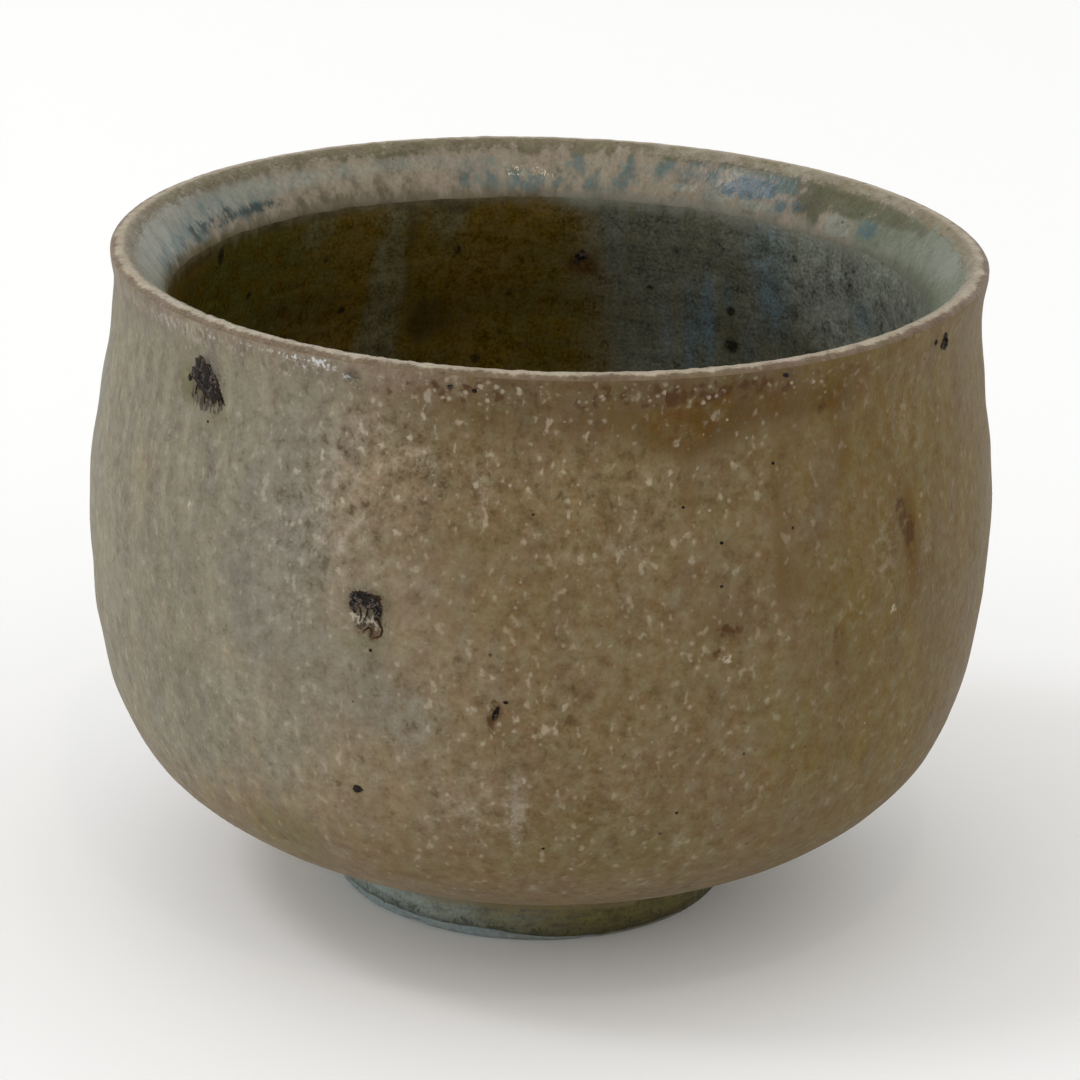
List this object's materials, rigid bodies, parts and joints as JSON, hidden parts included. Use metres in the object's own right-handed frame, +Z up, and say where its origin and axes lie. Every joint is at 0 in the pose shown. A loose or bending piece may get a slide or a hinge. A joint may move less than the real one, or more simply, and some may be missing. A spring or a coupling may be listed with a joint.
{
  "type": "sake cup",
  "caption": "Small round-bellied stoneware drinking cup on a turned foot ring, with a matt ash glaze outside and a pooled dark glaze inside.",
  "frame": {"origin": "on the cup's axis, in the plane that the foot ring stands on", "axes": "+Z up along the cup's axis, -Y towards the picture's viewer, +X to the viewer's right"},
  "size_m": [0.066, 0.066, 0.0486],
  "materials": {
    "clay": "bare fired stoneware, blue-grey, fine grit",
    "ash_glaze": "matt to satin ash glaze, tan-grey to olive-brown, with crystals",
    "thin_glaze": "thin satin glaze over the lip, pinkish tan",
    "opal_glaze": "glossy opalescent glaze, pale blue to sage, with streaks",
    "dark_glaze": "glossy dark olive to teal glaze, pooled in the well",
    "foot_glaze": "satin glaze, blue-grey to dark olive",
    "iron": "near-black iron melt, slightly sunk, with rusty edges"
  },
  "bodies": {
    "root": {"clay_bowl": "clay", "foot_ring": "clay", "outer_glaze": "ash_glaze", "lip_glaze": "thin_glaze", "neck_glaze": "opal_glaze", "well_glaze": "dark_glaze", "foot_glaze": "foot_glaze", "iron_spots": "iron"}
  },
  "joints": []
}
